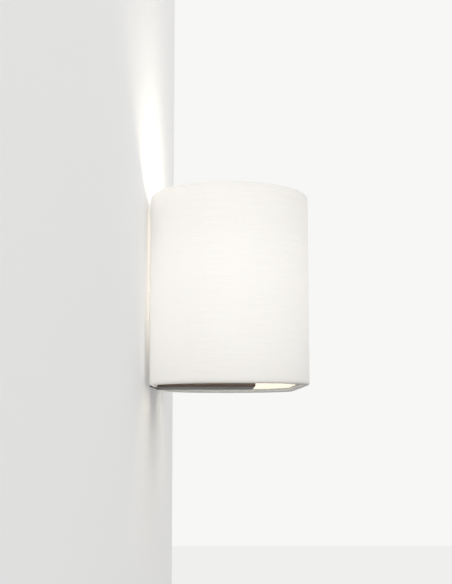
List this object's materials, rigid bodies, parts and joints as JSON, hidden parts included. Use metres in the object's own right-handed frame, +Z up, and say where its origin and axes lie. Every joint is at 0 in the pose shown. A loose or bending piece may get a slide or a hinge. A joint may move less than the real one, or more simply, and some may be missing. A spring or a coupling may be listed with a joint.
{
  "type": "wall_light",
  "caption": "Wall light with a long oval cream fabric shade on a dark bronze tray bracket, with upright lampholders inside and a cut-out at the back of the shade for the wall plate",
  "frame": {"origin": "middle of the two wall slots, on the back of the wall plate, which is the wall's surface", "axes": "+X along the wall to the right as seen from the room, +Y into the wall, +Z up; the light stands out to -Y"},
  "size_m": [0.4, 0.1713, 0.2],
  "materials": {
    "shade_fabric": "matt woven cloth with horizontal slubs",
    "shade_lining": "smooth translucent film",
    "frame_wire": "white painted wire",
    "bracket_bronze": "satin dark bronze",
    "screw_steel": "zinc plated",
    "grommet_rubber": "matt black",
    "terminal_plastic": "natural nylon",
    "brass": "bright brass",
    "wire_brown": "smooth insulation",
    "wire_blue": "smooth insulation",
    "wire_green": "smooth insulation",
    "holder_plastic": "white thermoset",
    "holder_insulator": "glazed insulating disc",
    "contact_metal": "sprung contact brass",
    "lamp_cap_metal": "bright rolled shell",
    "lamp_black_glass": "black insulating glass",
    "lamp_housing_plastic": "white moulded cup",
    "lamp_globe_opal": "opal diffuser",
    "lamp_board_white": "white coated board"
  },
  "bodies": {
    "fixture": {"shade_fabric": "shade_fabric", "shade_lining": "shade_lining", "shade_top_wire": "frame_wire", "shade_bottom_wire": "frame_wire", "shade_notch_frame": "frame_wire", "shade_carrier": "frame_wire", "wall_bracket": "bracket_bronze", "tray": "bracket_bronze", "tray_lid": "bracket_bronze", "lid_screws": "screw_steel", "cable_grommet": "grommet_rubber", "terminal_block": "terminal_plastic", "terminal_clamps": "brass", "terminal_screws": "screw_steel", "terminal_block_screws": "screw_steel", "earth_screw": "screw_steel", "earth_wire": "wire_green", "live_wires": "wire_brown", "neutral_wires": "wire_blue", "holder_nipple_left": "screw_steel", "holder_lock_nut_left": "screw_steel", "holder_collar_left": "bracket_bronze", "holder_base_left": "holder_plastic", "holder_skirt_left": "holder_plastic", "holder_insert_left": "holder_insulator", "holder_shell_left": "brass", "holder_contact_left": "contact_metal", "holder_nipple_right": "screw_steel", "holder_lock_nut_right": "screw_steel", "holder_collar_right": "bracket_bronze", "holder_base_right": "holder_plastic", "holder_skirt_right": "holder_plastic", "holder_insert_right": "holder_insulator", "holder_shell_right": "brass", "holder_contact_right": "contact_metal"},
    "lamp_left": {"lamp_tip_left": "lamp_cap_metal", "lamp_insulator_left": "lamp_black_glass", "lamp_cap_left": "lamp_cap_metal", "lamp_housing_left": "lamp_housing_plastic", "lamp_board_left": "lamp_board_white", "lamp_globe_left": "lamp_globe_opal"},
    "lamp_right": {"lamp_tip_right": "lamp_cap_metal", "lamp_insulator_right": "lamp_black_glass", "lamp_cap_right": "lamp_cap_metal", "lamp_housing_right": "lamp_housing_plastic", "lamp_board_right": "lamp_board_white", "lamp_globe_right": "lamp_globe_opal"},
    "shade_ring_left": {"shade_ring_left": "holder_plastic"},
    "shade_ring_right": {"shade_ring_right": "holder_plastic"}
  },
  "joints": [
    {"name": "lamp_left_lift", "type": "slide", "parent": "fixture", "child": "lamp_left", "axis": [0, 0, 1], "range_m": [0, 0.165]},
    {"name": "shade_ring_left_turn", "type": "hinge", "parent": "fixture", "child": "shade_ring_left", "pos_m": [-0.045, -0.0873, -0.0074], "axis": [0, 0, 1], "range_deg": [0, 1080]},
    {"name": "lamp_right_lift", "type": "slide", "parent": "fixture", "child": "lamp_right", "axis": [0, 0, 1], "range_m": [0, 0.165]},
    {"name": "shade_ring_right_turn", "type": "hinge", "parent": "fixture", "child": "shade_ring_right", "pos_m": [0.045, -0.0873, -0.0074], "axis": [0, 0, 1], "range_deg": [0, 1080]}
  ]
}
